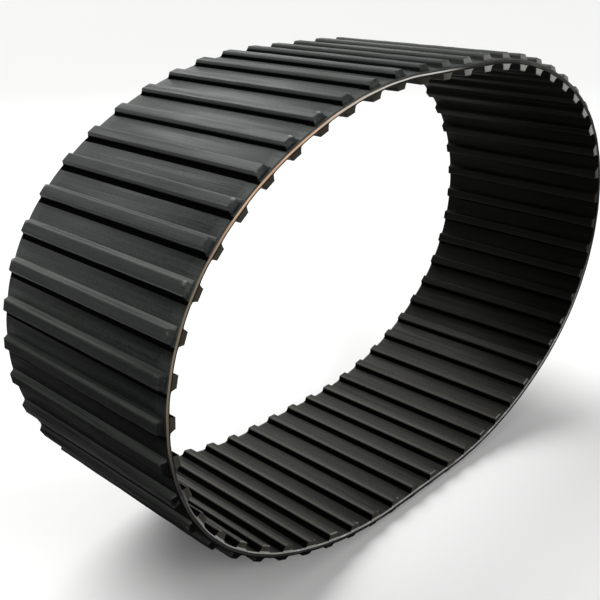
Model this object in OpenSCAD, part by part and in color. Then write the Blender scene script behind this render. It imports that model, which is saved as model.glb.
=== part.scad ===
// Endless rubber crawler track, standing free on its tread.
// The track is ten belt sections joined end to end at flex hinges. Each section
// has an outer cover, a cord carcass, an inner cover, tread bars, drive lugs and
// the stiffener rods moulded inside the lugs.
// X runs along the loop, Y across the belt and Z up. The tread rests on Z = 0.

/* [Belt] */
// Width of the belt
belt_w = 400; // [250:10:600]
// Distance from one tread bar to the next, measured along the cords
pitch = 62; // [52:1:90]
// Thickness of the rubber outside the cords
outer_t = 2.5; // [1:0.5:5]
// Thickness of the cord and fabric carcass
carcass_t = 5; // [3:0.5:8]
// Thickness of the rubber inside the cords
inner_t = 1.5; // [1:0.5:4]

/* [Shape of the loop] */
// Degrees that the belt turns round each tight end
end_turn = 94; // [80:1:105]
// Degrees that it turns just before and just after a tight end
knee_turn = 15; // [10:1:18]
// Degrees that it turns between a flat run and the next knee, going clockwise
sweep_turn = 25; // [18:1:30]

/* [Tread bars] */
// Length of a bar's foot along the belt
bar_base = 26; // [16:1:32]
// Length of a bar's ground face along the belt
bar_face = 18; // [8:1:24]
// Height of a bar above the outer cover
bar_h = 10; // [4:0.5:16]
// Distance from a belt edge to a bar's foot
bar_end_gap = 5; // [0:1:20]
// How far a bar's ends slope in between foot and face
bar_end_slope = 5; // [1:0.5:10]

/* [Drive lugs] */
// Length of a lug's foot along the belt
lug_base = 27; // [18:1:32]
// Length of a lug's tip along the belt
lug_tip = 18; // [10:1:24]
// Height of a lug above the inner cover
lug_h = 12; // [9:0.5:18]
// Chamfer on a lug's long tip edges
lug_chamfer = 2; // [0.5:0.5:3]
// Distance from a belt edge to a lug's end
lug_end_gap = 1; // [0:0.5:20]

/* [Stiffener rods] */
// Diameter of the rod inside each lug
rod_d = 5; // [3:0.5:6]
// Distance from a belt edge to a rod's end
rod_end_gap = 18; // [8:1:60]

/* [Flex hinges] */
// Slit left between two sections, so that they can bend without touching
slit = 1.2; // [0.8:0.1:3]

/* [Hidden] */
places = ["bottom", "lower_left", "left_end_low", "left_end_high", "upper_left",
          "top", "upper_right", "right_end_high", "right_end_low", "lower_right"];
kinds = ["outer_cover", "carcass", "inner_cover", "tread_bars", "drive_lugs", "stiffener_rods"];
$fn = 48;
eps = 0.01;

// Bars in each section, clockwise from the flat run that the track stands on.
bars_in = [6, 5, 5, 6, 5, 6, 5, 5, 6, 5];
bars = 54;
half = bars / 2;

// Half the loop as [spans, degrees turned]. The other half repeats it, which
// closes the loop. The first run is flat: it is what the track stands on.
rise_turn = 180 - end_turn - 2 * knee_turn - sweep_turn;
runs = [[3, 0], [5, sweep_turn], [2, knee_turn], [9, end_turn], [2, knee_turn], [6, rise_turn]];
turns = [for (r = runs) for (i = [1 : r[0]]) r[1] / r[0]];
function turn(i) = turns[(i + bars) % half];

// The belt stays straight under each bar and bends only in the free span.
foot = max(bar_base, lug_base);
free = pitch - foot;
arc_steps = 6;

// Distances from the middle of the cords, where the length never changes.
to_ground_side = carcass_t / 2 + outer_t;
to_drive_side = carcass_t / 2 + inner_t;

function dir(a) = [cos(a), sin(a)];
function inward(a) = [sin(a), -cos(a)];
function chord(len, t) = t == 0 ? len : len * sin(t / 2) / (t / 2 * PI / 180);
// A point on the free span after a bar at [x, z, heading], at share u of the span.
function on_span(s, t, u) =
    let (p = [s[0], s[1]] + foot / 2 * dir(s[2]) + chord(u * free, u * t) * dir(s[2] - u * t / 2))
    [p[0], p[1], s[2] - u * t];
function next_bar(s, t) =
    let (e = on_span(s, t, 1), p = [e[0], e[1]] + foot / 2 * dir(e[2]))
    [p[0], p[1], e[2]];

raw = [for (i = 0, s = [0, 0, 180]; i < bars; s = next_bar(s, turn(i)), i = i + 1) s];
shift = [-(raw[0][0] + raw[half][0]) / 2, bar_h + to_ground_side];
// Every bar as [x, z, heading], with the loop centred on X = 0 and resting on Z = 0.
bar_at = [for (s = raw) [s[0] + shift[0], s[1] + shift[1], s[2]]];
function bar_pos(i) = bar_at[(i + bars) % bars];

// The flat run is bars 0 to 3, and the bottom section has one more bar each side.
function first_bar(n) = n == 0 ? -1 : first_bar(n - 1) + bars_in[n - 1];

// The section's middle line, from its slit before to its slit after.
half_slit = slit / 2 / free;
function path(n) =
    let (a = first_bar(n), z = a + bars_in[n] - 1)
    concat(
        [for (u = [0.5 + half_slit, 4 / 6, 5 / 6, 1]) on_span(bar_pos(a - 1), turn(a - 1), u)],
        [for (i = [a : z - 1]) let (k = turn(i) == 0 ? 1 : arc_steps)
            for (j = [0 : k]) on_span(bar_pos(i), turn(i), j / k)],
        [for (u = [0, 1 / 6, 2 / 6, 0.5 - half_slit]) on_span(bar_pos(z), turn(z), u)]
    );
function offset_line(line, h) = [for (p = line) [p[0], p[1]] + h * inward(p[2])];

// A layer of the belt between two distances from the cords, inward positive.
module layer(n, from, to) {
    line = path(n);
    rotate([90, 0, 0])
        linear_extrude(belt_w, center = true)
            polygon(concat(offset_line(line, from), reversed(offset_line(line, to))));
}
function reversed(v) = [for (i = [len(v) - 1 : -1 : 0]) v[i]];

// Puts its children on every bar of a section: local X along the belt, Z outward.
module on_bars(n) {
    for (k = [0 : bars_in[n] - 1]) {
        s = bar_pos(first_bar(n) + k);
        translate([s[0], 0, s[1]]) rotate([0, -s[2], 0]) children();
    }
}

module outer_cover(n) {
    color("#2b2d2e") layer(n, -to_ground_side, -carcass_t / 2);
}

module carcass(n) {
    color("#b08d6a") layer(n, -carcass_t / 2, carcass_t / 2);
}

module inner_cover(n) {
    color("#242422") layer(n, carcass_t / 2, to_drive_side);
}

module tread_bar() {
    len = belt_w - 2 * bar_end_gap;
    top = len - 2 * bar_end_slope;
    translate([0, 0, to_ground_side])
        intersection() {
            rotate([90, 0, 0]) linear_extrude(len, center = true)
                polygon([[-bar_base / 2, 0], [bar_base / 2, 0], [bar_face / 2, bar_h], [-bar_face / 2, bar_h]]);
            rotate([90, 0, 90]) linear_extrude(bar_base + 2, center = true)
                polygon([[-len / 2, 0], [len / 2, 0], [top / 2, bar_h], [-top / 2, bar_h]]);
        }
}

module tread_bars(n) {
    color("#303233") on_bars(n) tread_bar();
}

// The rods sit half way up the lugs.
rod_z = -(to_drive_side + lug_h / 2);
module rod(len) {
    translate([0, 0, rod_z]) rotate([90, 0, 0]) cylinder(h = len, d = rod_d, center = true);
}
rod_len = belt_w - 2 * rod_end_gap;

module drive_lug() {
    base = lug_base / 2;
    tip = lug_tip / 2;
    flank = (base - tip) * lug_chamfer / lug_h;
    difference() {
        translate([0, 0, -to_drive_side]) rotate([90, 0, 0])
            linear_extrude(belt_w - 2 * lug_end_gap, center = true)
                polygon([[-base, 0], [-tip - flank, lug_chamfer - lug_h], [lug_chamfer - tip, -lug_h],
                         [tip - lug_chamfer, -lug_h], [tip + flank, lug_chamfer - lug_h], [base, 0]]);
        rod(rod_len);
    }
}

module drive_lugs(n) {
    color("#1f1f1d") on_bars(n) drive_lug();
}

module stiffener_rods(n) {
    color("#d8d2b8") on_bars(n) rod(rod_len);
}

for (n = [0 : len(places) - 1]) {
    outer_cover(n);
    carcass(n);
    inner_cover(n);
    tread_bars(n);
    drive_lugs(n);
    stiffener_rods(n);
}
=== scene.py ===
import math
import bmesh
import bpy
import numpy as np
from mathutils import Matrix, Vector


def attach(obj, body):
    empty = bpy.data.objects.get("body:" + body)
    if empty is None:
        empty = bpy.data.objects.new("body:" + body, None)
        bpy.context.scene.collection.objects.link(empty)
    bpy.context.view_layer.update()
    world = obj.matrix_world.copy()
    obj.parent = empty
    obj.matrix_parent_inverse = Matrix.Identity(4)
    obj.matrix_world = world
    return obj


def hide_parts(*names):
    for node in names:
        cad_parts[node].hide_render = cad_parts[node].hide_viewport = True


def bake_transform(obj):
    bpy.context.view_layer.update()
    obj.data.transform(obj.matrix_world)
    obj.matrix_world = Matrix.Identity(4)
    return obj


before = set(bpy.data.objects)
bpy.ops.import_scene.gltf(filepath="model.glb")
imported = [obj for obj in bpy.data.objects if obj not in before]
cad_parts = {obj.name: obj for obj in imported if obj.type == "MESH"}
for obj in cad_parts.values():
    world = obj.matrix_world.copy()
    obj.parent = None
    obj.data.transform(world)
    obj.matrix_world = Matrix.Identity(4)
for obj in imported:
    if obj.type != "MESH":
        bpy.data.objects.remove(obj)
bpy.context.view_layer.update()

# The loop's shape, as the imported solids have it: metres, and degrees in halfLoop.
loop = {
    "barCount": 54,
    "pitch": 0.062,            # along the cords
    "foot": 0.027,             # the belt stays straight this far under each bar
    "groundSide": 0.005,       # cords' middle to the outer face
    "driveSide": 0.004,        # cords' middle to the inner face
    "barHeight": 0.010,
    "width": 0.400,
    "halfLoop": [(3, 0), (5, 25), (2, 15), (9, 94), (2, 15), (6, 31)],   # spans, degrees turned
    "lineSteps": 8,            # points of the middle line in each free span
}

# First bar of each section and how many it has, clockwise from the flat lower run.
sections = [
    ("bottom", -1, 6), ("lower_left", 5, 5), ("left_end_low", 10, 5), ("left_end_high", 15, 6),
    ("upper_left", 21, 5), ("top", 26, 6), ("upper_right", 32, 5), ("right_end_high", 37, 5),
    ("right_end_low", 42, 6), ("lower_right", 48, 5),
]
openPivot = "upper_right"      # the loop is opened between this section and the next


def along(angle):
    return Vector((math.cos(angle), 0, math.sin(angle)))


def outward(angle):
    return Vector((-math.sin(angle), 0, math.cos(angle)))


def layOutLoop():
    turns = [math.radians(total) / spans for spans, total in loop["halfLoop"] for _ in range(spans)] * 2
    free = loop["pitch"] - loop["foot"]
    places = [(Vector((0, 0, 0)), math.pi)]
    for turn in turns[:-1]:
        point, angle = places[-1]
        chord = free * math.sin(turn / 2) / (turn / 2) if turn else free
        point = point + along(angle) * loop["foot"] / 2 + along(angle - turn / 2) * chord
        places.append((point + along(angle - turn) * loop["foot"] / 2, angle - turn))
    opposite = places[loop["barCount"] // 2][0]
    shift = Vector((-(places[0][0].x + opposite.x) / 2, 0, loop["barHeight"] + loop["groundSide"]))
    return [(point + shift, angle) for point, angle in places], turns


barPlaces, spanTurns = layOutLoop()


def barAt(index):
    return barPlaces[index % loop["barCount"]]


def turnAt(index):
    return spanTurns[index % loop["barCount"]]


def centreLine():
    # The cords' middle as closely spaced points, with the length run so far and the outward side.
    points, lengths, normals = [], [], []
    free = loop["pitch"] - loop["foot"]
    for index in range(loop["barCount"]):
        point, angle = barAt(index)
        turn = turnAt(index)
        start = index * loop["pitch"]
        for share in (-0.5, 0.0, 0.5):
            points.append(point + along(angle) * loop["foot"] * share)
            lengths.append(start + loop["foot"] * share)
            normals.append(outward(angle))
        for step in range(1, loop["lineSteps"]):
            part = step / loop["lineSteps"]
            bent = turn * part
            chord = free * part * (math.sin(bent / 2) / (bent / 2) if turn else 1)
            points.append(point + along(angle) * loop["foot"] / 2 + along(angle - bent / 2) * chord)
            lengths.append(start + loop["foot"] / 2 + free * part)
            normals.append(outward(angle - bent))
    return np.array(points), np.array(lengths), np.array(normals)


linePoints, lineLengths, lineNormals = centreLine()


def clearSelection():
    if bpy.context.object and bpy.context.object.mode != "OBJECT":
        bpy.ops.object.mode_set(mode="OBJECT")
    bpy.ops.object.select_all(action="DESELECT")


def pick(obj):
    clearSelection()
    obj.select_set(True)
    bpy.context.view_layer.objects.active = obj


def selectWhere(obj, kind, test):
    # In edit mode, selects the vertices, edges or faces whose middle passes the test.
    mesh = bmesh.from_edit_mesh(obj.data)
    for group in (mesh.verts, mesh.edges, mesh.faces):
        for part in group:
            part.select = False
    mesh.select_mode = {kind}
    group = {"VERT": mesh.verts, "EDGE": mesh.edges, "FACE": mesh.faces}[kind]
    for part in group:
        if kind == "VERT":
            part.select = test(part.co, part)
        elif kind == "EDGE":
            part.select = test((part.verts[0].co + part.verts[1].co) / 2, part)
        else:
            part.select = test(part.calc_center_median(), part)
    mesh.select_flush_mode()
    bmesh.update_edit_mesh(obj.data)
    bpy.context.tool_settings.mesh_select_mode = (kind == "VERT", kind == "EDGE", kind == "FACE")


def markFromLine(obj):
    # Keeps each point's place on the belt: length run, place across, height off the cords.
    co = np.array([v.co for v in obj.data.vertices])
    flat = co[:, [0, 2]]
    spots = linePoints[:, [0, 2]]
    nearest = np.argmin(((flat[:, None, :] - spots[None, :, :]) ** 2).sum(2), 1)
    offset = co - linePoints[nearest]
    normal = lineNormals[nearest]
    tangent = np.stack([normal[:, 2], np.zeros(len(co)), -normal[:, 0]], 1)
    run = lineLengths[nearest] + (offset * tangent).sum(1)
    total = loop["barCount"] * loop["pitch"]
    if run.max() - run.min() > total / 2:        # the piece crosses the place where the count begins
        run = np.where(run < total / 2, run + total, run)
    place = np.stack([run, co[:, 1], (offset * normal).sum(1)], 1)
    mark = obj.data.attributes.new("beltPlace", "FLOAT_VECTOR", "POINT")
    mark.data.foreach_set("vector", place.astype(np.float32).ravel())


beltLayers = {
    "outer_cover": {
        "low": 0.0025, "high": 0.0050, "corner": 0.0012,
        "borderWidth": 0.021, "borderSlope": 0.0012, "borderDrop": 0.0006,
    },
    "carcass": {"low": -0.0025, "high": 0.0025, "inset": 0.0007, "corner": 0.0005},
    "inner_cover": {"low": -0.0040, "high": -0.0025, "corner": 0.0009},
}
arcSteps = 6                   # on a free span
cornerSegments = 3
beltSmoothAngle = 38           # degrees
slack = 0.00001                # for picking points that lie on an outline
mergeWithin = 0.00002


def crossSection(name, layer, start, angle, inset):
    # A face across the belt, standing square to its run, with its corners rounded and its border let down.
    low, high = layer["low"], layer["high"]
    halfWidth = loop["width"] / 2 - inset
    clearSelection()
    bpy.ops.mesh.primitive_plane_add(
        size=1, location=start + outward(angle) * (low + high) / 2, rotation=(0, math.pi / 2 - angle, 0))
    piece = bpy.context.object
    piece.name = name
    piece.scale = (high - low, 2 * halfWidth, 1)
    bpy.ops.object.transform_apply(location=True, rotation=True, scale=True)
    bpy.ops.object.mode_set(mode="EDIT")

    def depth(co):
        return (co - start).dot(outward(angle))

    if "borderWidth" in layer:
        for side in (-1, 1):
            border = halfWidth - layer["borderWidth"]
            for cut in (border, border - layer["borderSlope"]):
                bpy.ops.mesh.select_all(action="SELECT")
                bpy.ops.mesh.bisect(plane_co=(0, side * cut, 0), plane_no=(0, 1, 0))
        selectWhere(piece, "VERT", lambda co, v: depth(co) > high - slack
                    and abs(co.y) > border - 10 * slack)
        bpy.ops.transform.translate(value=outward(angle) * -layer["borderDrop"])
    faceSide = 1 if abs(high) > abs(low) else -1
    if name.endswith("carcass"):
        selectWhere(piece, "VERT", lambda co, v: True)
    else:
        selectWhere(piece, "VERT", lambda co, v: abs(co.y) > halfWidth - slack
                    and (depth(co) - (low + high) / 2) * faceSide > 0)
    bpy.ops.mesh.bevel(offset=layer["corner"], segments=cornerSegments, affect="VERTICES")
    return piece


def spanOn(index, share=1.0):
    # Carries the selected end face over the free span after a bar, by the given share of it.
    point, angle = barAt(index)
    turn = turnAt(index)
    free = loop["pitch"] - loop["foot"]
    steps = max(1, round(arcSteps * share))
    if turn:
        centre = point + along(angle) * loop["foot"] / 2 - outward(angle) * free / turn
        bpy.ops.mesh.spin(steps=steps, angle=-turn * share, center=centre, axis=(0, 1, 0))
    else:
        for _ in range(2):
            bpy.ops.mesh.extrude_region_move(TRANSFORM_OT_translate={"value": along(angle) * free * share / 2})


def footOn(angle, share=0.5):
    bpy.ops.mesh.extrude_region_move(TRANSFORM_OT_translate={"value": along(angle) * loop["foot"] * share})


def closeUp(piece):
    bpy.ops.mesh.select_all(action="SELECT")
    bpy.ops.mesh.remove_doubles(threshold=mergeWithin)
    bpy.ops.mesh.normals_make_consistent(inside=False)
    bpy.ops.object.mode_set(mode="OBJECT")
    pick(piece)
    bpy.ops.object.shade_smooth_by_angle(angle=math.radians(beltSmoothAngle))
    markFromLine(piece)
    return piece


def beltStretch(name, kind, first, last):
    # One layer from the middle of one bar to the middle of another.
    layer = beltLayers[kind]
    point, angle = barAt(first)
    piece = crossSection(name, layer, point, angle, layer.get("inset", 0))
    selectWhere(piece, "FACE", lambda co, f: True)
    for index in range(first, last):
        footOn(barAt(index)[1])
        spanOn(index)
        footOn(barAt(index + 1)[1])
    return closeUp(piece)


def halfHinge(name, kind, index, side):
    # Half of the belt over the opened pivot, from a bar's middle to the pivot.
    layer = beltLayers[kind]
    point, angle = barAt(index)
    if side == "before":
        piece = crossSection(name, layer, point, angle, layer.get("inset", 0))
        selectWhere(piece, "FACE", lambda co, f: True)
        footOn(angle)
        spanOn(index, 0.5)
    else:
        turn = turnAt(index)
        free = loop["pitch"] - loop["foot"]
        bent = turn / 2
        middle = point + along(angle) * loop["foot"] / 2 + along(angle - bent / 2) * (
            free / 2 * math.sin(bent / 2) / (bent / 2))
        piece = crossSection(name, layer, middle, angle - bent, layer.get("inset", 0))
        selectWhere(piece, "FACE", lambda co, f: True)
        centre = point + along(angle) * loop["foot"] / 2 - outward(angle) * free / turn
        bpy.ops.mesh.spin(steps=arcSteps // 2, angle=-turn / 2, center=centre, axis=(0, 1, 0))
        footOn(angle - turn)
    return closeUp(piece)


bar = {
    "base": 0.026, "top": 0.018, "height": 0.010,
    "length": 0.392, "endSlope": 0.0035,         # how far each end draws in on the way up
    "rootFlare": 0.0016, "rootRise": 0.0014,     # rubber swelling where the bar meets the cover
    "edgeRound": 0.0020, "stations": 26,
}
lug = {
    "base": 0.027, "top": 0.018, "height": 0.012,
    "length": 0.398, "endSlope": 0.0012,
    "rootFlare": 0.0014, "rootRise": 0.0012,
    "edgeRound": 0.0030, "stations": 26,
}
# Bars and lugs share these. Shares are of the root's flare and rise, the height or the edge's rounding.
blockShape = {
    "endFlare": 0.0009, "midEndFlare": 0.0006, "midFlareShare": 0.75, "midRiseShare": 0.30,
    "crestSegments": 3, "crestProfile": 0.6,
    "cornerReach": 0.002, "cornerLeastShare": 0.2, "cornerShare": 0.7, "cornerSegments": 2,
    "cutInset": 0.004, "smoothAngle": 40,
}


def modelBlock(name, block, foot):
    # A moulded bar: its foot outline is raised, drawn in and rounded, then cut across for wear.
    clearSelection()
    bpy.ops.mesh.primitive_plane_add(size=1, location=(0, 0, foot))
    piece = bpy.context.object
    piece.name = name
    flare = block["rootFlare"]
    footWidth, footLength = block["base"] + 2 * flare, block["length"] + 2 * blockShape["endFlare"]
    piece.scale = (footWidth, footLength, 1)
    bpy.ops.object.transform_apply(location=True, rotation=True, scale=True)
    bpy.ops.object.mode_set(mode="EDIT")

    def raiseTo(width, length, height):
        bpy.ops.mesh.extrude_region_move(TRANSFORM_OT_translate={"value": (0, 0, height - raiseTo.height)})
        raiseTo.height = height
        bpy.ops.transform.resize(
            value=(width / raiseTo.width, length / raiseTo.length, 1),
            center_override=(0, 0, foot + height))
        raiseTo.width, raiseTo.length = width, length

    def sidesAt(height):
        share = height / block["height"]
        return (block["base"] - (block["base"] - block["top"]) * share,
                block["length"] - 2 * block["endSlope"] * share)

    raiseTo.height = 0
    raiseTo.width, raiseTo.length = footWidth, footLength
    selectWhere(piece, "FACE", lambda co, f: True)
    raiseTo(block["base"] + flare * blockShape["midFlareShare"], block["length"] + blockShape["midEndFlare"],
            block["rootRise"] * blockShape["midRiseShare"])
    for height in (block["rootRise"], block["height"] / 2, block["height"]):
        raiseTo(*sidesAt(height), height)
    nearTop = foot + block["height"] - slack
    selectWhere(piece, "EDGE", lambda co, e: all(v.co.z > nearTop for v in e.verts))
    bpy.ops.mesh.bevel(offset=block["edgeRound"], segments=blockShape["crestSegments"],
                       profile=blockShape["crestProfile"], affect="EDGES")
    halfLength = block["length"] / 2
    selectWhere(piece, "EDGE", lambda co, e: abs(co.y) > halfLength - block["endSlope"] - blockShape["cornerReach"]
                and abs(e.verts[0].co.z - e.verts[1].co.z) > block["height"] * blockShape["cornerLeastShare"])
    bpy.ops.mesh.bevel(offset=block["edgeRound"] * blockShape["cornerShare"],
                       segments=blockShape["cornerSegments"], affect="EDGES")
    outermost = halfLength - block["endSlope"] - blockShape["cutInset"]
    for cut in np.linspace(-outermost, outermost, block["stations"] - 1):
        bpy.ops.mesh.select_all(action="SELECT")
        bpy.ops.mesh.bisect(plane_co=(0, float(cut), 0), plane_no=(0, 1, 0))
    bpy.ops.mesh.select_all(action="SELECT")
    bpy.ops.mesh.normals_make_consistent(inside=False)
    bpy.ops.object.mode_set(mode="OBJECT")
    return piece


# From which share of its height a bar wears uneven, and the size and height of the unevenness.
crestWear = {"from": 0.6, "size": 0.045, "depth": 2, "strength": 0.0016}


def placeOnBars(pattern, name, first, count, side):
    # Copies of the pattern, one on each bar of a section, joined into one piece.
    copies = []
    for index in range(first, first + count):
        pick(pattern)
        bpy.ops.object.duplicate(linked=False)
        copy = bpy.context.object
        point, angle = barAt(index)
        co = np.array([v.co for v in copy.data.vertices])
        place = np.stack([(index % loop["barCount"]) * loop["pitch"] + co[:, 0], co[:, 1], co[:, 2] * side], 1)
        mark = copy.data.attributes.new("beltPlace", "FLOAT_VECTOR", "POINT")
        mark.data.foreach_set("vector", place.astype(np.float32).ravel())
        crest = copy.vertex_groups.new(name="crest")
        high = np.flatnonzero(co[:, 2] > co[:, 2].max() * crestWear["from"])
        crest.add([int(i) for i in high], 1.0, "REPLACE")
        if side < 0:
            copy.rotation_euler = (math.pi, 0, 0)
            bpy.ops.object.transform_apply(location=False, rotation=True, scale=False)
        copy.rotation_euler = (0, -angle, 0)
        copy.location = point
        bpy.ops.object.transform_apply(location=True, rotation=True, scale=True)
        copies.append(copy)
    clearSelection()
    for copy in copies:
        copy.select_set(True)
    bpy.context.view_layer.objects.active = copies[0]
    bpy.ops.object.join()
    piece = bpy.context.object
    piece.name = name
    workUneven(piece)
    bpy.ops.object.shade_smooth_by_angle(angle=math.radians(blockShape["smoothAngle"]))
    return piece


def workUneven(piece):
    # The slight unevenness of used rubber, worked into the crests only so that the roots stay on the belt.
    cloud = bpy.data.textures.new(piece.name + "Unevenness", "CLOUDS")
    cloud.noise_scale = crestWear["size"]
    cloud.noise_depth = crestWear["depth"]
    uneven = piece.modifiers.new("uneven", "DISPLACE")
    uneven.texture = cloud
    uneven.texture_coords = "LOCAL"
    uneven.vertex_group = "crest"
    uneven.mid_level = 0.5
    uneven.strength = crestWear["strength"]
    bpy.ops.object.modifier_apply(modifier=uneven.name)


pieces = []


def keep(piece, kind, body, nodes=()):
    pieces.append((piece, kind))
    if nodes:
        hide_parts(*nodes)
    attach(piece, body)


for kind in beltLayers:
    for number, (place, first, count) in enumerate(sections):
        last = first + count - 1
        stretch = beltStretch(f"{place}_{kind}_belt", kind, first, last)
        keep(stretch, kind, place, [f"{place}_{kind}"])
        nextPlace = sections[(number + 1) % len(sections)][0]
        if place == openPivot:
            keep(halfHinge(f"{place}_{kind}_pivotHalf", kind, last, "before"), kind, place)
            keep(halfHinge(f"{nextPlace}_{kind}_pivotHalf", kind, last, "after"), kind, nextPlace)
        else:
            flex = beltStretch(f"{place}_{kind}_flex", kind, last, last + 1)
            pieces.append((flex, kind))
            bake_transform(flex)
    print("belt layer done:", kind)

barPattern = modelBlock("barPattern", bar, loop["groundSide"])
lugPattern = modelBlock("lugPattern", lug, loop["driveSide"])
for place, first, count in sections:
    bars = placeOnBars(barPattern, f"{place}_bars", first, count, 1)
    keep(bars, "tread_bars", place, [f"{place}_tread_bars"])
    lugs = placeOnBars(lugPattern, f"{place}_lugs", first, count, -1)
    keep(lugs, "drive_lugs", place, [f"{place}_drive_lugs"])
bpy.data.objects.remove(barPattern)
bpy.data.objects.remove(lugPattern)
print("bars and lugs done")


def startMaterial(name):
    material = bpy.data.materials.new(name)
    material.use_nodes = True
    tree = material.node_tree
    shader = tree.nodes["Principled BSDF"]
    return material, tree, shader


def noise(tree, scale, detail=4.0, roughness=0.55):
    # Noise in the object's own space; a small scale across the belt draws it out into lines.
    place = tree.nodes.new("ShaderNodeTexCoord")
    mapping = tree.nodes.new("ShaderNodeMapping")
    mapping.inputs["Scale"].default_value = scale
    tree.links.new(place.outputs["Object"], mapping.inputs["Vector"])
    node = tree.nodes.new("ShaderNodeTexNoise")
    node.inputs["Scale"].default_value = 1.0
    node.inputs["Detail"].default_value = detail
    node.inputs["Roughness"].default_value = roughness
    tree.links.new(mapping.outputs["Vector"], node.inputs["Vector"])
    return node.outputs["Fac"]


def spread(tree, value, low, high, toLow=0.0, toHigh=1.0):
    node = tree.nodes.new("ShaderNodeMapRange")
    node.interpolation_type = "SMOOTHSTEP"
    node.inputs["From Min"].default_value = low
    node.inputs["From Max"].default_value = high
    node.inputs["To Min"].default_value = toLow
    node.inputs["To Max"].default_value = toHigh
    tree.links.new(value, node.inputs["Value"])
    return node.outputs["Result"]


def reckon(tree, kind, *values):
    node = tree.nodes.new("ShaderNodeMath")
    node.operation = kind
    for socket, value in zip(node.inputs, values):
        if isinstance(value, (int, float)):
            socket.default_value = value
        else:
            tree.links.new(value, socket)
    return node.outputs["Value"]


def times(tree, first, *others):
    for other in others:
        first = reckon(tree, "MULTIPLY", first, other)
    return first


def most(tree, first, *others):
    for other in others:
        first = reckon(tree, "MAXIMUM", first, other)
    return first


def blendColour(tree, factor, first, second):
    node = tree.nodes.new("ShaderNodeMix")
    node.data_type = "RGBA"
    tree.links.new(factor, node.inputs["Factor"])
    for name, value in (("A", first), ("B", second)):
        socket = [s for s in node.inputs if s.name == name and s.type == "RGBA"][0]
        if isinstance(value, tuple):
            socket.default_value = (*value, 1)
        else:
            tree.links.new(value, socket)
    return [s for s in node.outputs if s.type == "RGBA"][0]


def bump(tree, height, distance, strength, previous=None):
    node = tree.nodes.new("ShaderNodeBump")
    node.inputs["Distance"].default_value = distance
    node.inputs["Strength"].default_value = strength
    tree.links.new(height, node.inputs["Height"])
    if previous:
        tree.links.new(previous, node.inputs["Normal"])
    return node.outputs["Normal"]


def beltPlace(tree):
    # Length run, place across and height off the cords, then the distance along from the nearest bar's middle.
    mark = tree.nodes.new("ShaderNodeAttribute")
    mark.attribute_name = "beltPlace"
    split = tree.nodes.new("ShaderNodeSeparateXYZ")
    tree.links.new(mark.outputs["Vector"], split.inputs["Vector"])
    run, across, height = split.outputs
    fromBar = reckon(tree, "WRAP", run, loop["pitch"] / 2, -loop["pitch"] / 2)
    return run, reckon(tree, "ABSOLUTE", across), height, fromBar


def stretchOf(tree, run, firstBar, lastBar, fade):
    # 1 between two bars of the loop and 0 away from them, fading over a few bars.
    rise = spread(tree, run, (firstBar - fade) * loop["pitch"], firstBar * loop["pitch"])
    fall = spread(tree, run, lastBar * loop["pitch"], (lastBar + fade) * loop["pitch"], 1.0, 0.0)
    return times(tree, rise, fall)


# Noises in the rubber: how fine they are along, across and up, then detail and roughness.
rubberNoise = {
    "mottle": ((7, 4, 7), 3, 0.55),
    "streaks": ((560, 5, 560), 5, 0.65),
    "broad": ((75, 1.8, 75), 4, 0.6),
    "grain": ((900, 900, 900), 2, 0.55),
    "speckle": ((330, 210, 330), 3, 0.7),
    "scuff": ((70, 45, 70), 6, 0.72),
    "hits": ((24, 10, 24), 4, 0.7),
}
toneRange = (0.38, 0.62)                   # the part of a summed noise that is spread over the whole range
toneMix = {"streaks": 0.5, "mottle": 0.4, "broad": 0.6, "speckle": (0.30, -0.15)}
roughMix = {"broad": 0.7, "mottle": 0.3}
bumpDepth = {"grain": 0.00012, "streaks": 0.00045, "flankStreaks": 0.00030, "mottle": 0.003}
mottleStrength = 0.3
topSheenShare = 0.8
# Each rubber's dust colour also paints the highlights on crests and the light on lit flanks, and its last number is
# how far the painted shade darkens it toward black.
rubber = {
    "outer_cover": {
        "dark": (0.0090, 0.0108, 0.0098), "light": (0.036, 0.042, 0.038), "dustAndLight": (0.085, 0.088, 0.081),
        "roughness": (0.36, 0.60), "streak": 0.80, "grain": 0.45,
        "specular": 0.16, "sheen": (0.92, 1.0, 0.95), "shadeDepth": 0.95,
    },
    "tread_bars": {
        "dark": (0.0065, 0.0076, 0.0070), "light": (0.021, 0.024, 0.022), "dustAndLight": (0.112, 0.120, 0.112),
        "roughness": (0.38, 0.60), "streak": 0.75, "grain": 0.55,
        "specular": 0.14, "sheen": (0.92, 1.0, 0.95), "shadeDepth": 0.92,
    },
    "inner_cover": {
        "dark": (0.0060, 0.0060, 0.0051), "light": (0.031, 0.0305, 0.0262), "dustAndLight": (0.10, 0.095, 0.080),
        "roughness": (0.42, 0.64), "streak": 0.95, "grain": 0.5,
        "specular": 0.135, "sheen": (1.0, 1.0, 0.92), "shadeDepth": 0.90,
    },
    "drive_lugs": {
        "dark": (0.0060, 0.0060, 0.0051), "light": (0.031, 0.0305, 0.0262), "dustAndLight": (0.12, 0.116, 0.102),
        "roughness": (0.42, 0.64), "streak": 0.95, "grain": 0.5,
        "specular": 0.135, "sheen": (1.0, 1.0, 0.92), "shadeDepth": 0.88,
    },
}
# Colours of wear, and of painted shade, painted sheen and painted highlight.
wearAndLightColours = {
    "palerEnds": (0.21, 0.21, 0.195),          # lug and bar ends at the upper right, rubbed pale
    "greasyEnds": (0.0150, 0.0130, 0.0075),    # lug ends elsewhere
    "edgeLine": (0.42, 0.42, 0.40),            # a pale line on the belt's inner corner: partly painted highlight, partly rubbed wear
    "scuffed": (0.50, 0.50, 0.47),             # a bar's corner where something hit it
    "topSheen": (0.052, 0.055, 0.051),         # painted sheen on the outer side where the top run bends down
    "shadeBlack": (0.0014, 0.0014, 0.0013),    # painted shade: near-black for flanks turned from the light, shadows at the bars' feet and darkened stretches
}
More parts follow.
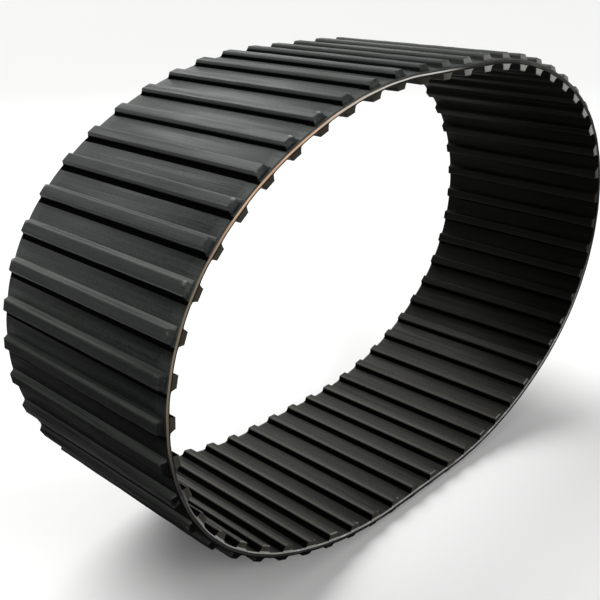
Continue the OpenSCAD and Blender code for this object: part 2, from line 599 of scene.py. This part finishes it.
# Stretches of the loop, as first bar, last bar and the bars over which each fades.
# Painted shade darkens the outer side away from the first stretch and the inner side over the second; painted sheen
# lies on the top right's covers and flanks; painted shade lies over the valleys of the tight end, and painted light
# on the leading flanks at the left.
stretches = {
    "outerLit": (17.5, 36, 4), "innerShaded": (33, 46, 6),
    "topSheen": (31, 38, 3), "flankSheen": (29, 38, 3), "upperRight": (30, 38, 3),
    "bottomLeft": (2, 11, 3), "bottomRight": (47, 60, 5),
    "shadedValleys": (6, 17, 6), "leadingLit": (11, 20.5, 3), "trailingRubbed": (18, 36, 2),
    "hit": (17, 31, 2), "greyFlanks": (10, 33, 3),
}
# Where marks lie, in metres from a bar's middle, across the belt or off the cords, or between which
# values of a noise. Two more numbers say from and to which strength a mark goes.
rim = {"across": (0.180, 0.199), "share": 0.35}
scuffRange = (0.50, 0.70)
coverMarks = {
    "border": (0.1785, 0.1800, 0.0, 0.14),     # the band let down along each edge of the outer cover
    "valleyFrom": -0.013,                      # where a bar's foot begins, from the bar's middle
    "outerFoot": (0.0450, 0.0480, 0.0, 0.85), "outerValley": (0.0200, 0.0485), "outerShare": 0.95,
    "innerFoot": (0.0140, 0.0210, 0.9, 0.0), "innerValley": (0.0140, 0.0480, 0.75, 0.0),
    "rimShare": 0.7, "corner": (0.1972, 0.1985), "cornerScuff": (0.0, 0.5, 0.6, 1.0),
}
barMarks = {
    "crestSide": (0.0054, 0.0080), "crest": (0.0130, 0.0145),
    "crestLeads": (-0.004, 0.004, 0.02, 0.32), "crestPatches": (0.35, 0.6, 0.3, 1.0),
    "endFrom": (0.1900, 0.1915), "endTo": (0.1925, 0.1940, 1.0, 0.0), "endScuff": (0.0, 0.6, 0.1, 0.9),
    "leading": (0.0078, 0.0096), "leadingPatches": (0.38, 0.62, 0.15, 0.85), "leadingLines": (0.35, 0.6, 0.6, 1.0),
    "trailing": (-0.0096, -0.0086, 1.0, 0.0), "trailingHeight": (0.0098, 0.0125),
    "trailingPatches": (0.35, 0.65, 0.35, 0.7),
    "paleEnd": (0.1915, 0.1940), "paleShare": 0.6,
    "hitAcross": (0.1830, 0.1905), "hitAlong": (0.003, 0.0080), "hitHeight": (0.0120, 0.0145),
    "hits": (0.46, 0.56), "hitShare": 0.45, "shadeOnDustShare": 0.5,
}
lugMarks = {
    "rimShare": 0.6, "crestSide": (0.0056, 0.0072), "crest": (-0.0154, -0.0140, 1.0, 0.0),
    "crestLeads": (-0.004, 0.004, 0.1, 0.5), "crestPatches": (0.35, 0.6, 0.5, 1.0),
    "highlightAlong": (-0.003, 0.010, 0.0, 0.22), "face": (-0.0150, -0.0135, 1.0, 0.0),
    "end": (0.1968, 0.1985), "greasyShare": 0.85,
    "footAcross": (0.1972, 0.1982), "foot": (-0.0064, -0.0054), "footScuff": (0.0, 0.5, 0.6, 1.0),
    "nubAcross": (0.1950, 0.1965), "nubs": (0.45, 0.55), "nubShare": 0.4,
}
flankMarks = {
    "toneShare": 0.12, "upper": (0.0105, 0.0130), "upperShare": 0.35, "flankSheenShare": 0.7,
    "roughness": (0.3, 0.7, 0.75, 0.9), "specular": 0.002,
}
# How much reflection each grade of rubber keeps, lowered where painted shade darkens the loop, and the bar from
# which each grade holds.
glossAsShade = {"Worn": 1.0, "Used": 0.6, "Dull": 0.3, "Dim": 0.12, "Matt": 0.05, "Flat": 0.01}
glossShadeFrom = {
    "outer": [(0, "Flat"), (13, "Matt"), (15, "Dim"), (16, "Dull"), (17, "Worn"),
              (37, "Used"), (48, "Dull"), (52, "Matt"), (53, "Flat")],
    "inner": [(0, "Worn"), (21, "Used"), (26, "Dull"), (48, "Used"), (53, "Worn")],
}


def within(tree, run, name):
    return stretchOf(tree, run, *stretches[name])


def aroundTheBottom(tree, run):
    # 1 over the stretch where the belt's inner edge carries a pale line, partly painted highlight and partly rubbed
    # wear.
    return most(tree, within(tree, run, "bottomLeft"), within(tree, run, "bottomRight"))


def leftOver(tree, value):
    return reckon(tree, "SUBTRACT", 1.0, value)


def lookAlong(tree, look):
    # The noises that every rubber's tone, roughness and bump follow, and the tone itself.
    noises = {name: noise(tree, *rubberNoise[name]) for name in ("mottle", "streaks", "broad", "grain", "speckle")}
    share = look["streak"] * toneMix["streaks"]
    drawn = reckon(tree, "ADD", times(tree, noises["mottle"], toneMix["mottle"]),
                   times(tree, noises["broad"], toneMix["broad"]))
    tone = reckon(tree, "ADD", times(tree, drawn, 1 - share), times(tree, noises["streaks"], share))
    tone = reckon(tree, "ADD", tone, reckon(tree, "MULTIPLY_ADD", noises["speckle"], *toneMix["speckle"]))
    return noises, spread(tree, tone, *toneRange)


def intoValley(tree, fromBar):
    # Distance along from the middle of the bar behind, up to the foot of the bar ahead.
    start = coverMarks["valleyFrom"]
    return reckon(tree, "WRAP", fromBar, loop["pitch"] + start, start)


def markOuterCover(tree, place, noises, rimDust):
    # The let-down border is dusty. A painted shadow lies along each trailing foot, and painted shade over the
    # valleys at the tight end.
    run, across, _, fromBar = place
    marks = coverMarks
    dustAndLight = most(tree, rimDust, spread(tree, across, *marks["border"]))
    # Painted shade over the valleys at the tight end.
    valley = intoValley(tree, fromBar)
    shadedValleys = times(tree, spread(tree, valley, *marks["outerValley"]), within(tree, run, "shadedValleys"), marks["outerShare"])
    # Painted shadow along each trailing foot, joined with the valleys' painted shade.
    paintedShadow = most(tree, spread(tree, valley, *marks["outerFoot"]), shadedValleys)
    return dustAndLight, [(paintedShadow, wearAndLightColours["shadeBlack"])]


def markBars(tree, place, noises, rimDust):
    # Crests carry a pale line at their leading edge, partly painted highlight and partly wear, and the leading
    # flanks at the left are painted light; ends and trailing flanks rub grey, and some corners are scuffed where
    # something hit them.
    run, across, height, fromBar = place
    marks = barMarks
    crestHeight = spread(tree, height, *marks["crest"])
    crest = times(tree, spread(tree, reckon(tree, "ABSOLUTE", fromBar), *marks["crestSide"]), crestHeight)
    # Painted highlight along the crest's leading edge, partly wear.
    wornAndLit = times(tree, crest, spread(tree, fromBar, *marks["crestLeads"]),
                 spread(tree, noises["broad"], *marks["crestPatches"]))
    endEdge = times(tree, spread(tree, across, *marks["endFrom"]), spread(tree, across, *marks["endTo"]),
                    crestHeight, spread(tree, noises["scuff"], *marks["endScuff"]))
    # Painted light: the leading flank of the bars at the left, lit from above, drawn lighter.
    leading = times(tree, spread(tree, fromBar, *marks["leading"]), within(tree, run, "leadingLit"),
                    spread(tree, noises["broad"], *marks["leadingPatches"]),
                    spread(tree, noises["streaks"], *marks["leadingLines"]))
    trailing = times(tree, spread(tree, fromBar, *marks["trailing"]), spread(tree, height, *marks["trailingHeight"]),
                     within(tree, run, "trailingRubbed"), spread(tree, noises["broad"], *marks["trailingPatches"]))
    onCorner = within(tree, run, "upperRight")
    paleEnd = times(tree, spread(tree, across, *marks["paleEnd"]), onCorner, marks["paleShare"])
    hits = spread(tree, noise(tree, *rubberNoise["hits"]), *marks["hits"])
    hit = times(tree, spread(tree, across, *marks["hitAcross"]), spread(tree, fromBar, *marks["hitAlong"]),
                spread(tree, height, *marks["hitHeight"]), hits, within(tree, run, "hit"), marks["hitShare"])
    paleColour = blendColour(tree, onCorner, wearAndLightColours["scuffed"], wearAndLightColours["palerEnds"])
    return most(tree, rimDust, wornAndLit, endEdge, leading, trailing), [(most(tree, paleEnd, hit), paleColour)]


def markInnerCover(tree, place, noises, rimDust):
    # A painted shadow lies along each leading foot and fades across the valley, and the corner round the bottom
    # carries a pale line, partly painted highlight and partly rubbed wear.
    run, across, _, fromBar = place
    marks = coverMarks
    valley = intoValley(tree, fromBar)
    # Painted shadow beside each lug's leading flank, fading across the valley.
    paintedShadow = most(tree, spread(tree, valley, *marks["innerFoot"]), spread(tree, valley, *marks["innerValley"]))
    # Pale corner line: partly painted highlight, partly rubbed wear.
    pale = times(tree, spread(tree, across, *marks["corner"]), aroundTheBottom(tree, run),
                 spread(tree, noises["scuff"], *marks["cornerScuff"]))
    return (times(tree, rimDust, marks["rimShare"]),
            [(paintedShadow, wearAndLightColours["shadeBlack"]), (pale, wearAndLightColours["edgeLine"])])


def markLugs(tree, place, noises, rimDust):
    # Tips carry a pale line at their leading edge, partly painted highlight and partly wear, and each tip face a
    # painted highlight growing towards that edge. Ends are greasy, or pale at the upper right. Round the bottom,
    # lines at the feet and nubs at the ends are pale, partly painted highlight and partly rubbed wear.
    run, across, height, fromBar = place
    marks = lugMarks
    crest = times(tree, spread(tree, reckon(tree, "ABSOLUTE", fromBar), *marks["crestSide"]),
                  spread(tree, height, *marks["crest"]))
    # Painted highlight along the tip's edge, most on its leading side, partly wear.
    wornAndLit = times(tree, crest, spread(tree, fromBar, *marks["crestLeads"]),
                 spread(tree, noises["broad"], *marks["crestPatches"]))
    face = spread(tree, height, *marks["face"])
    # Painted highlight over the tip face, growing towards its leading edge.
    faceHighlight = times(tree, spread(tree, fromBar, *marks["highlightAlong"]), face)
    onCorner = within(tree, run, "upperRight")
    end = times(tree, spread(tree, across, *marks["end"]), most(tree, onCorner, marks["greasyShare"]))
    endColour = blendColour(tree, onCorner, wearAndLightColours["greasyEnds"], wearAndLightColours["palerEnds"])
    footLine = times(tree, spread(tree, across, *marks["footAcross"]), spread(tree, height, *marks["foot"]),
                     spread(tree, noises["scuff"], *marks["footScuff"]))
    nubs = times(tree, spread(tree, across, *marks["nubAcross"]), face,
                 spread(tree, noise(tree, *rubberNoise["hits"]), *marks["nubs"]), marks["nubShare"])
    # Pale lines round the bottom: partly painted highlight, partly rubbed wear.
    highlightAndWearLine = times(tree, most(tree, footLine, nubs), aroundTheBottom(tree, run))
    return (most(tree, times(tree, rimDust, marks["rimShare"]), wornAndLit, faceHighlight),
            [(end, endColour), (highlightAndWearLine, wearAndLightColours["edgeLine"])])


markers = {
    "outer_cover": markOuterCover, "tread_bars": markBars,
    "inner_cover": markInnerCover, "drive_lugs": markLugs,
}
innerKinds = ("inner_cover", "drive_lugs")


def mixRubber(kind, grade):
    look = rubber[kind]
    material, tree, shader = startMaterial(f"{kind}Rubber{grade}")
    place = beltPlace(tree)
    run, across = place[:2]
    noises, tone = lookAlong(tree, look)
    noises["scuff"] = spread(tree, noise(tree, *rubberNoise["scuff"]), *scuffRange)
    rimDust = times(tree, spread(tree, across, *rim["across"]), noises["scuff"], rim["share"])
    dustAndLight, layers = markers[kind](tree, place, noises, rimDust)
    base = blendColour(tree, tone, look["dark"], look["light"])
    # Painted shade: the inner side is darkened toward black over the right end, the outer side everywhere but the
    # upper left and the top.
    if kind in innerKinds:
        paintedShade = times(tree, within(tree, run, "innerShaded"), look["shadeDepth"])
    else:
        paintedShade = times(tree, leftOver(tree, within(tree, run, "outerLit")), look["shadeDepth"])
        # Painted sheen on the outer side over the top right.
        topSheen = times(tree, within(tree, run, "topSheen"), topSheenShare)
        base = blendColour(tree, topSheen, base, wearAndLightColours["topSheen"])
    base = blendColour(tree, paintedShade, base, wearAndLightColours["shadeBlack"])
    # Dust and painted light are dimmed where the painted shade lies, on bars only by a share.
    shadeOnDust = barMarks["shadeOnDustShare"] if kind == "tread_bars" else 1.0
    dustAndLight = times(tree, dustAndLight, leftOver(tree, times(tree, paintedShade, shadeOnDust)))
    colour = blendColour(tree, dustAndLight, base, look["dustAndLight"])
    for amount, layerColour in layers:
        colour = blendColour(tree, amount, colour, layerColour)
    tree.links.new(colour, shader.inputs["Base Color"])
    rough = reckon(tree, "ADD", times(tree, noises["broad"], roughMix["broad"]),
                   times(tree, noises["mottle"], roughMix["mottle"]))
    tree.links.new(spread(tree, rough, *toneRange, *look["roughness"]), shader.inputs["Roughness"])
    shader.inputs["Specular IOR Level"].default_value = look["specular"] * glossAsShade[grade]
    shader.inputs["Specular Tint"].default_value = (*look["sheen"], 1)
    first = bump(tree, noises["grain"], bumpDepth["grain"], look["grain"])
    second = bump(tree, noises["streaks"], bumpDepth["streaks"], look["streak"], first)
    third = bump(tree, noises["mottle"], bumpDepth["mottle"], mottleStrength, second)
    tree.links.new(third, shader.inputs["Normal"])
    return material


def mixFlank(kind):
    # Painted shade: one flank of a bar or lug, turned from the light, is matt near-black. On bars its upper part is
    # painted lighter along much of the loop, and at the top right it takes the painted sheen.
    look = rubber[kind]
    marks = flankMarks
    material, tree, shader = startMaterial(kind + "FlankShade")
    noises, tone = lookAlong(tree, look)
    run, _, height, _ = beltPlace(tree)
    colour = blendColour(tree, times(tree, tone, marks["toneShare"]), wearAndLightColours["shadeBlack"], look["dark"])
    if kind == "tread_bars":
        # The shaded flank's upper part, painted lighter towards the crest.
        upper = times(tree, spread(tree, height, *marks["upper"]), within(tree, run, "greyFlanks"),
                      marks["upperShare"])
        colour = blendColour(tree, upper, colour, look["dustAndLight"])
        # Painted sheen on the flanks at the top right.
        sheenOnFlank = times(tree, within(tree, run, "flankSheen"), marks["flankSheenShare"])
        colour = blendColour(tree, sheenOnFlank, colour, wearAndLightColours["topSheen"])
    tree.links.new(colour, shader.inputs["Base Color"])
    tree.links.new(spread(tree, noises["mottle"], *marks["roughness"]), shader.inputs["Roughness"])
    shader.inputs["Specular IOR Level"].default_value = marks["specular"]
    first = bump(tree, noises["grain"], bumpDepth["grain"], look["grain"])
    second = bump(tree, noises["streaks"], bumpDepth["flankStreaks"], look["streak"], first)
    tree.links.new(second, shader.inputs["Normal"])
    return material


def facePlaces(piece):
    # Every face with its middle's run along the belt, counted in bars, its distance from the nearest
    # bar's middle, and its height off the cords.
    marks = piece.data.attributes["beltPlace"].data
    for face in piece.data.polygons:
        spots = [marks[corner].vector for corner in face.vertices]
        run = sum(spot[0] for spot in spots) / len(spots)
        bars = run / loop["pitch"]
        yield face, bars, run - round(bars) * loop["pitch"], sum(spot[2] for spot in spots) / len(spots)


def giveStretches(piece, kind):
    # Each face gets the grade of its own bar, or of the span it lies in, so that grades change under a bar. Grades
    # with less reflection paint shade.
    grades = []
    side = "inner" if kind in innerKinds else "outer"
    for face, bars, _, _ in facePlaces(piece):
        bars = round(bars) if kind in ("tread_bars", "drive_lugs") else math.floor(bars) + 0.5
        grade = [name for start, name in glossShadeFrom[side] if bars % loop["barCount"] >= start][-1]
        if grade not in grades:
            grades.append(grade)
            piece.data.materials.append(finishFor(kind, grade))
        face.material_index = grades.index(grade)


flanks = {"reach": 0.8, "litReach": 0.5, "litBars": (17.5, 36.5), "within": 0.0005}
feet = {"bars": (8, 21.5), "along": (-0.0190, -0.0137)}


def giveFlanks(piece, finish, block, foot, side):
    # One flank of every bar and lug takes the matt painted shade, and on the upper-left and top bars, where the
    # light reaches further down, only the lower half of it.
    piece.data.materials.append(finish)
    for face, bars, fromBar, height in facePlaces(piece):
        rise = abs(height) - foot
        wornAndLit = side < 0 and flanks["litBars"][0] < bars < flanks["litBars"][1]
        reach = flanks["litReach"] if wornAndLit else flanks["reach"]
        flankAt = (block["base"] - (block["base"] - block["top"]) * rise / block["height"]) / 2
        if rise < reach * block["height"] and fromBar * side > flankAt - flanks["within"]:
            face.material_index = len(piece.data.materials) - 1


def giveFootShadows(piece, finish):
    # Painted shadow: the strip of cover beside each bar's trailing foot takes the same matt near-black round the
    # tight end.
    piece.data.materials.append(finish)
    for face, bars, fromBar, _ in facePlaces(piece):
        if feet["bars"][0] < bars < feet["bars"][1] and feet["along"][0] < fromBar < feet["along"][1]:
            face.material_index = len(piece.data.materials) - 1


cord = {
    "plyScale": (16, 1600, 16),                # along, off the cords, up
    "plyDetail": 3.0, "plySpread": (0.35, 0.65), "plyBump": (0.0004, 0.6),
    "stains": ((13, 4, 13), 5, 0.65),
    "tan": ((0.36, 0.215, 0.13), (0.76, 0.53, 0.37)), "tanStretch": (20.5, 23.5, 2.5),
    "tanStains": (0.4, 0.6, 1.0, 0.85),
    "olive": ((0.11, 0.085, 0.058), (0.26, 0.205, 0.145)), "oliveStretch": (16.5, 19, 3.5), "oliveShare": 0.85,
    "bleached": ((0.25, 0.24, 0.22), (0.70, 0.68, 0.64)), "bleachedStretch": (24, 27.5, 1.5),
    "bleachedBelow": (0.0002, 0.0012, 1.0, 0.0), "bleachedAbove": (-0.0022, -0.0012),
    "coated": ((0.008, 0.008, 0.007), (0.05, 0.047, 0.04)), "coatedStains": (0.5, 0.7),
    "copper": (0.075, 0.030, 0.015), "copperStretch": (17, 24, 3), "copperPly": (0.0008, 0.0018, 0.0, 0.7),
    "roughness": (0.3, 0.7, 0.6, 0.85), "specular": 0.2,
}


def mixCarcass():
    # Bare cords where the edge has rubbed, bleached on the top run, and coated with black rubber elsewhere.
    material, tree, shader = startMaterial("cordCarcass")
    run, _, height, _ = beltPlace(tree)
    place = tree.nodes.new("ShaderNodeTexCoord")
    split = tree.nodes.new("ShaderNodeSeparateXYZ")
    tree.links.new(place.outputs["Object"], split.inputs["Vector"])
    join = tree.nodes.new("ShaderNodeCombineXYZ")
    for socket, value, scale in zip(join.inputs, (split.outputs[0], height, split.outputs[2]), cord["plyScale"]):
        tree.links.new(times(tree, value, scale), socket)
    plyNoise = tree.nodes.new("ShaderNodeTexNoise")
    plyNoise.inputs["Scale"].default_value = 1.0
    plyNoise.inputs["Detail"].default_value = cord["plyDetail"]
    tree.links.new(join.outputs["Vector"], plyNoise.inputs["Vector"])
    plies = plyNoise.outputs["Fac"]
    stains = noise(tree, *cord["stains"])
    tan = blendColour(tree, spread(tree, plies, *cord["plySpread"]), *cord["tan"])
    olive = blendColour(tree, plies, *cord["olive"])
    bleached = blendColour(tree, plies, *cord["bleached"])
    coated = blendColour(tree, spread(tree, stains, *cord["coatedStains"]), *cord["coated"])
    isOlive = times(tree, stretchOf(tree, run, *cord["oliveStretch"]), cord["oliveShare"])
    isTan = times(tree, stretchOf(tree, run, *cord["tanStretch"]), spread(tree, stains, *cord["tanStains"]))
    isBleached = times(tree, stretchOf(tree, run, *cord["bleachedStretch"]),
                       spread(tree, height, *cord["bleachedBelow"]), spread(tree, height, *cord["bleachedAbove"]))
    isCopper = times(tree, spread(tree, height, *cord["copperPly"]), stretchOf(tree, run, *cord["copperStretch"]))
    colour = blendColour(tree, isOlive, coated, olive)
    for amount, layer in ((isTan, tan), (isBleached, bleached), (isCopper, cord["copper"])):
        colour = blendColour(tree, amount, colour, layer)
    tree.links.new(colour, shader.inputs["Base Color"])
    tree.links.new(spread(tree, stains, *cord["roughness"]), shader.inputs["Roughness"])
    shader.inputs["Specular IOR Level"].default_value = cord["specular"]
    tree.links.new(bump(tree, plies, *cord["plyBump"]), shader.inputs["Normal"])
    return material


glassFibre = {
    "strands": (900, 8, 900), "between": (0.62, 0.60, 0.48), "strand": (0.80, 0.78, 0.66),
    "roughness": (0.3, 0.7, 0.3, 0.5), "bump": (0.0002, 0.4),
}


def mixGlassFibre():
    material, tree, shader = startMaterial("glassFibreRod")
    strands = noise(tree, glassFibre["strands"])
    colour = blendColour(tree, strands, glassFibre["between"], glassFibre["strand"])
    tree.links.new(colour, shader.inputs["Base Color"])
    tree.links.new(spread(tree, strands, *glassFibre["roughness"]), shader.inputs["Roughness"])
    tree.links.new(bump(tree, strands, *glassFibre["bump"]), shader.inputs["Normal"])
    return material


finishes = {}


def finishFor(kind, grade):
    if (kind, grade) not in finishes:
        finishes[kind, grade] = mixRubber(kind, grade)
    return finishes[kind, grade]


# The flank finishes are painted shade.
barShade, lugShade, cordFinish = mixFlank("tread_bars"), mixFlank("drive_lugs"), mixCarcass()
for piece, kind in pieces:
    piece.data.materials.clear()
    if kind == "carcass":
        piece.data.materials.append(cordFinish)
    else:
        giveStretches(piece, kind)
    if kind == "outer_cover":
        giveFootShadows(piece, barShade)
    if kind == "tread_bars":
        giveFlanks(piece, barShade, bar, loop["groundSide"], -1)
    if kind == "drive_lugs":
        giveFlanks(piece, lugShade, lug, loop["driveSide"], 1)
rodFinish = mixGlassFibre()
for name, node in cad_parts.items():
    if name.endswith("stiffener_rods"):
        for holder in node.material_slots:
            holder.material = rodFinish
print("materials done")

studio = {
    "floorSize": 90, "floorHeight": -0.0006, "floorColour": (0.86, 0.86, 0.855),
    "floorRoughness": 0.8, "floorSpecular": 0.1,
    "skyColour": (1.0, 1.0, 1.0), "skyStrength": 0.38,
    "sun": {"place": (0, 2, 3), "towards": (0.10, 0.62, 0.78), "strength": 2.8, "softAngle": 48},
    "softBoxes": {
        "front": {"place": (0.4, -3.6, 1.9), "target": (0, 0, 0.4), "size": (2.4, 1.4), "power": 70},
        "backLeft": {"place": (-2.0, 3.2, 2.1), "target": (-0.4, 0, 0.5), "size": (2.0, 1.2), "power": 18},
        "backRight": {"place": (2.4, 3.0, 2.6), "target": (0, 0, 0.6), "size": (2.4, 1.2), "power": 24},
    },
}
clearSelection()
bpy.ops.mesh.primitive_plane_add(size=studio["floorSize"], location=(0, 0, studio["floorHeight"]))
floor = bpy.context.object
floor.name = "studioFloor"
floorFinish, _, floorShader = startMaterial("paleFloor")
floorShader.inputs["Base Color"].default_value = (*studio["floorColour"], 1)
floorShader.inputs["Roughness"].default_value = studio["floorRoughness"]
floorShader.inputs["Specular IOR Level"].default_value = studio["floorSpecular"]
floor.data.materials.append(floorFinish)

world = bpy.data.worlds.new("softStudio")
bpy.context.scene.world = world
world.use_nodes = True
sky = world.node_tree.nodes["Background"]
sky.inputs["Color"].default_value = (*studio["skyColour"], 1)
sky.inputs["Strength"].default_value = studio["skyStrength"]
bpy.context.scene.view_settings.view_transform = "Standard"

bpy.ops.object.light_add(type="SUN", location=studio["sun"]["place"])
sun = bpy.context.object
sun.name = "softSun"
sun.data.energy = studio["sun"]["strength"]
sun.data.angle = math.radians(studio["sun"]["softAngle"])
sun.rotation_euler = Vector(studio["sun"]["towards"]).to_track_quat("Z", "Y").to_euler()

for name, box in studio["softBoxes"].items():
    bpy.ops.object.light_add(type="AREA", location=box["place"])
    lamp = bpy.context.object
    lamp.name = name + "SoftBox"
    lamp.data.shape = "RECTANGLE"
    lamp.data.size, lamp.data.size_y = box["size"]
    lamp.data.energy = box["power"]
    lamp.rotation_euler = (Vector(box["target"]) - Vector(box["place"])).to_track_quat("-Z", "Y").to_euler()

camera = {
    "lens": 51.38, "sensorWidth": 36, "clipEnd": 200, "pitchDown": 22.65, "turnRight": 47.05,
    "besideBar": 15, "offset": (-0.5944, -0.7904, 0.588),     # from that bar's place on the loop's near edge
}
bpy.ops.object.camera_add()
eye = bpy.context.object
eye.name = "mainCamera"
eye.data.lens = camera["lens"]
eye.data.sensor_width = camera["sensorWidth"]
eye.data.clip_end = camera["clipEnd"]
nearEdge = barAt(camera["besideBar"])[0] - Vector((0, loop["width"] / 2, 0))
eye.location = nearEdge + Vector(camera["offset"])
eye.rotation_euler = (math.radians(90 - camera["pitchDown"]), 0, -math.radians(camera["turnRight"]))
bpy.context.scene.camera = eye
print("studio done")
